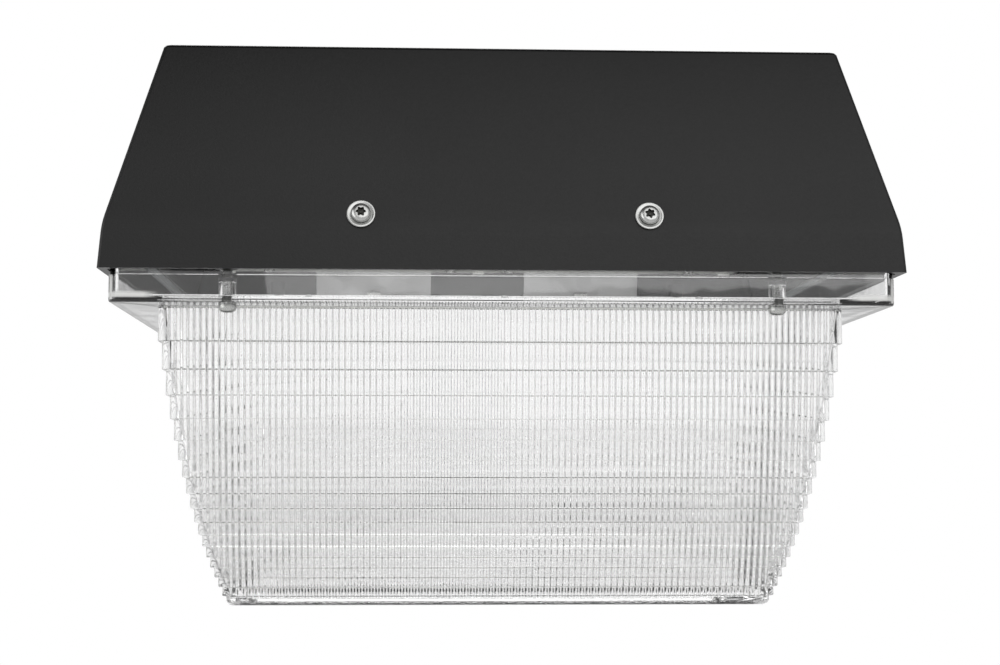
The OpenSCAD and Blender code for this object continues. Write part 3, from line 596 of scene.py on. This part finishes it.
# Spins a profile of radii and heights into a round shape.
def turned(bm, profile, steps, centre, closed):
    verts = [bm.verts.new((r, 0, z)) for r, z in profile]
    edges = [bm.edges.new(pair) for pair in zip(verts, verts[1:])]
    if closed:
        edges.append(bm.edges.new((verts[-1], verts[0])))
    before = set(bm.verts) - set(verts)
    bmesh.ops.spin(
        bm, geom=verts + edges, cent=(0, 0, 0), axis=(0, 0, 1), angle=2 * math.pi, steps=steps, use_merge=True,
    )
    made = [v for v in bm.verts if v not in before]
    bmesh.ops.remove_doubles(bm, verts=made, dist=near / 100)
    made = [v for v in made if v.is_valid]
    bmesh.ops.translate(bm, verts=made, vec=centre)
    return made


def isRimWall(face):
    middle = face.calc_center_median()
    upright = abs(face.normal.z) < 0.1
    outside = max(abs(middle.x), abs(middle.y)) > lens["rimHalf"] - lens["rimWall"] / 2
    return upright and outside and lens["flangeLow"] + 0.9 * lens["rimEdge"] < middle.z < lens["rimStep"]


def makeLens():
    bm = bmesh.new()
    outerShell(bm)
    wall = flutedWall()
    for turn in range(4):
        wall.transform(Matrix.Rotation(math.pi / 2, 4, "Z"))
        bm.from_mesh(wall)
    bpy.data.meshes.remove(wall)
    bmesh.ops.remove_doubles(bm, verts=bm.verts, dist=near)
    floorHeight = rowTop(lens["rows"]) + lens["bottomWall"]
    bmesh.ops.triangle_fill(bm, use_beauty=True, edges=boundaryAt(bm, lens["flangeTop"]))
    bottom = bmesh.ops.triangle_fill(bm, use_beauty=True, edges=boundaryAt(bm, floorHeight))["geom"]
    for face in bottom:
        if isinstance(face, bmesh.types.BMFace):
            face.material_index = 1
    bmesh.ops.recalc_face_normals(bm, faces=bm.faces)
    for face in bm.faces:
        if isRimWall(face):
            face.material_index = 2
    print("lens shell open edges:", sum(e.is_boundary or not e.is_manifold for e in bm.edges))
    lensFittings(bm)
    bmesh.ops.recalc_face_normals(bm, faces=bm.faces)
    toMetres(bm)
    piece = finishPiece(bm, "flutedLens", lensFinishes, smoothAngle=lens["smoothAngle"], flatFrom=lens["flatFrom"])
    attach(piece, "lens")
    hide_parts("lens")
    print("lens made:", len(piece.data.polygons), "faces")


# Machine screws, in mm: pan head, six-lobed recess with a pin, and a rolled thread.
screws = {
    "segments": 48, "smoothAngle": 32,
    "core": 1.62, "tip": 0.72, "tipLength": 0.7, "plainEnd": 0.8,     # the tip is a share of the core
    "pitch": 0.7, "threadSteps": 20, "crest": 2.0, "rootSunk": 0.04, "ridge": (0.26, 0.34, 0.6),
    "seatEdge": 0.15, "sideWall": 0.42,                               # heights on the head are shares of its rise
    "crown": [(0.97, 0.6), (0.88, 0.79), (0.74, 0.93), (0.58, 1)],    # shares of the head's radius and rise
    "recess": 1.65, "recessEdge": 0.1, "recessFoot": 0.94, "recessTop": 0.96, "recessFloor": 0.36,
    "lobes": 6, "lobe": 0.19, "pin": 0.6, "pinTop": 0.74, "pinEnd": (0.6, 0.8),
    "side": {
        "span": 109.0, "face": 150.1, "height": -68.5, "lean": 15.42, "turn": 0.7,    # turn is in radians
        "length": 17.5, "head": 3.7, "rise": 2.0,
    },
    "lens": {"x": 105.0, "y": 139.15, "height": -101.9, "length": 28.0, "head": 3.4, "rise": 2.8},
}
washer = {
    "thickness": 1.0,
    "shape": [
        (2.2, 0.1), (2.3, 0), (5.25, 0), (5.45, 0.2), (5.45, 0.7), (5.3, 0.92), (5.0, 1.0), (4.7, 0.94),
        (4.4, 0.82), (2.4, 0.8), (2.2, 0.7),
    ],
}


def growRing(bm, edges, radius, height, lobe):
    made = bmesh.ops.extrude_edge_only(bm, edges=edges)["geom"]
    verts = set(g for g in made if isinstance(g, bmesh.types.BMVert))
    for v in verts:
        angle = math.atan2(v.co.y, v.co.x)
        wide = radius * (1 + lobe * math.cos(screws["lobes"] * angle))
        v.co = (wide * math.cos(angle), wide * math.sin(angle), height)
    return [g for g in made if isinstance(g, bmesh.types.BMEdge) and all(v in verts for v in g.verts)]


# The head's seat lies at height 0, with the thread below it.
def screwMesh(size):
    bm = bmesh.new()
    head, rise, length = size["head"], size["rise"], size["length"]
    core, recess, pin, lobe = screws["core"], screws["recess"], screws["pin"], screws["lobe"]
    recessFloor, pinTop, pinEnd = screws["recessFloor"] * rise, screws["pinTop"] * rise, screws["pinEnd"]
    rings = [
        (core, -length + screws["tipLength"], 0), (core, 0, 0),
        (head - screws["seatEdge"], 0, 0), (head, screws["seatEdge"], 0), (head, screws["sideWall"] * rise, 0),
    ]
    rings += [(wide * head, high * rise, 0) for wide, high in screws["crown"]]
    rings += [
        (recess + screws["recessEdge"], rise, lobe), (recess, screws["recessTop"] * rise, lobe),
        (screws["recessFoot"] * recess, recessFloor, lobe),
        (pin, recessFloor, 0), (pin, pinTop, 0), (pinEnd[0] * pin, pinEnd[1] * rise, 0),
    ]
    tip = bmesh.ops.create_circle(bm, cap_ends=False, segments=screws["segments"], radius=screws["tip"] * core)
    bmesh.ops.translate(bm, verts=tip["verts"], vec=(0, 0, -length))
    first = list(bm.edges)
    edges = first
    for radius, height, waves in rings:
        edges = growRing(bm, edges, radius, height, waves)
        # Painted shade: the faces inside the recess take the dark zinc, the second finish.
        if height == pinTop:
            for face in bm.faces:
                inside = all(math.hypot(v.co.x, v.co.y) < (1 + lobe) * recess + near for v in face.verts)
                face.material_index = 1 if inside and face.calc_center_median().z > near else 0
    bmesh.ops.contextual_create(bm, geom=edges)
    bmesh.ops.contextual_create(bm, geom=first)

    turns = int((length - 2 * screws["plainEnd"]) / screws["pitch"])
    root, crest, low = core - screws["rootSunk"], screws["crest"], -length + screws["plainEnd"]
    crestLow, crestTop, rootTop = screws["ridge"]
    profile = [(root, 0, low), (crest, 0, low + crestLow), (crest, 0, low + crestTop), (root, 0, low + rootTop)]
    ridge = bm.faces.new([bm.verts.new(place) for place in profile])
    bmesh.ops.spin(
        bm, geom=[ridge], cent=(0, 0, 0), axis=(0, 0, 1), dvec=(0, 0, screws["pitch"] / screws["threadSteps"]),
        angle=2 * math.pi * turns, steps=turns * screws["threadSteps"],
    )
    for face in bm.faces:
        if face.calc_center_median().z < -near:
            face.material_index = 2
    bmesh.ops.recalc_face_normals(bm, faces=bm.faces)
    mesh = bpy.data.meshes.new("screw")
    bm.to_mesh(mesh)
    bm.free()
    return mesh


def sideScrewPlaces():
    side = screws["side"]
    lean = Matrix.Rotation(math.radians(90 - side["lean"]), 4, "X")
    for turn in (0, math.pi):
        for x in (-1, 1):
            place = Matrix.Translation((x * side["span"] / 2, -side["face"], side["height"])) @ lean
            yield Matrix.Rotation(turn, 4, "Z") @ place


def makeSideScrews():
    side = screws["side"]
    mesh = screwMesh(side)
    heads, rings = bmesh.new(), bmesh.new()
    for count, place in enumerate(sideScrewPlaces()):
        before = set(heads.verts)
        heads.from_mesh(mesh)
        made = [v for v in heads.verts if v not in before]
        onWasher = place @ Matrix.Translation((0, 0, washer["thickness"]))
        turn = Matrix.Rotation(side["turn"] * count, 4, "Z")
        bmesh.ops.transform(heads, verts=made, matrix=onWasher @ turn)
        made = turned(rings, washer["shape"], screws["segments"], Vector((0, 0, 0)), closed=True)
        bmesh.ops.transform(rings, verts=made, matrix=place)
    bpy.data.meshes.remove(mesh)
    for bm, name, node in ((heads, "sideScrews", "side_screws"), (rings, "sideWashers", "side_washers")):
        bmesh.ops.recalc_face_normals(bm, faces=bm.faces)
        toMetres(bm)
        piece = finishPiece(bm, name, screwFinishes, smoothAngle=screws["smoothAngle"])
        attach(piece, "canopy")
        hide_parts(node)
    print("side screws and washers made")


def makeLensScrews():
    size = screws["lens"]
    for y, depth in ((-1, "front"), (1, "back")):
        for x, hand in ((-1, "left"), (1, "right")):
            bm = bmesh.new()
            mesh = screwMesh(size)
            bm.from_mesh(mesh)
            bpy.data.meshes.remove(mesh)
            headDown = Matrix.Rotation(math.pi, 4, "X")
            place = Matrix.Translation((x * size["x"], y * size["y"], size["height"])) @ headDown
            bmesh.ops.transform(bm, verts=bm.verts, matrix=place)
            toMetres(bm)
            name = "lensScrew" + depth.title() + hand.title()
            piece = finishPiece(bm, name, screwFinishes, smoothAngle=screws["smoothAngle"])
            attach(piece, "screw_" + depth + "_" + hand)
            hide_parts("lens_screw_" + depth + "_" + hand)
    print("lens screws made")


# White LED packages, in mm: a square epoxy body with a dish of yellow phosphor that stands out in a low dome.
leds = {
    "boardPitch": 122.0, "pitch": 22.0, "count": 4, "face": -59.6, "side": 3.5, "height": 0.7, "edge": 0.12,
    "dish": 1.35, "dishSunk": 0.05, "dome": 0.1, "shoulder": (0.75, 0.7), "dishSides": 14, "smoothAngle": 32,
}


def makeLeds():
    bm = bmesh.new()
    half = (leds["count"] - 1) / 2
    onBoard = [(i - half) * leds["pitch"] for i in range(leds["count"])]
    along = [side * leds["boardPitch"] / 2 + offset for side in (-1, 1) for offset in onBoard]
    base = leds["face"] - leds["height"]
    wide, high = leds["shoulder"]
    dome = [
        (leds["dish"], base + leds["dishSunk"]), (leds["dish"], base),
        (wide * leds["dish"], base - high * leds["dome"]), (0, base - leds["dome"]),
    ]
    for x in along:
        for y in along:
            made = bmesh.ops.create_cube(bm, size=1)["verts"]
            bmesh.ops.scale(bm, verts=made, vec=(leds["side"], leds["side"], leds["height"]))
            bmesh.ops.translate(bm, verts=made, vec=(x, y, leds["face"] - leds["height"] / 2))
            edges = set(e for v in made for e in v.link_edges)
            low = [e for e in edges if all(v.co.z < leds["face"] - near for v in e.verts)]
            bmesh.ops.bevel(
                bm, geom=low, offset=leds["edge"], affect="EDGES", segments=1, profile=0.5, material=-1,
            )
            before = set(bm.faces)
            turned(bm, dome, leds["dishSides"], Vector((x, y, 0)), closed=False)
            for face in bm.faces:
                if face not in before:
                    face.material_index = 1
    bmesh.ops.recalc_face_normals(bm, faces=bm.faces)
    toMetres(bm)
    piece = finishPiece(bm, "ledPackages", ledFinishes, smoothAngle=leds["smoothAngle"])
    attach(piece, "canopy")
    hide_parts("led_chips")
    print("LED packages made:", len(along) ** 2)


makeSky()
makeFloor()
makeLamps()
makeLens()
makeSideScrews()
makeLensScrews()
makeLeds()
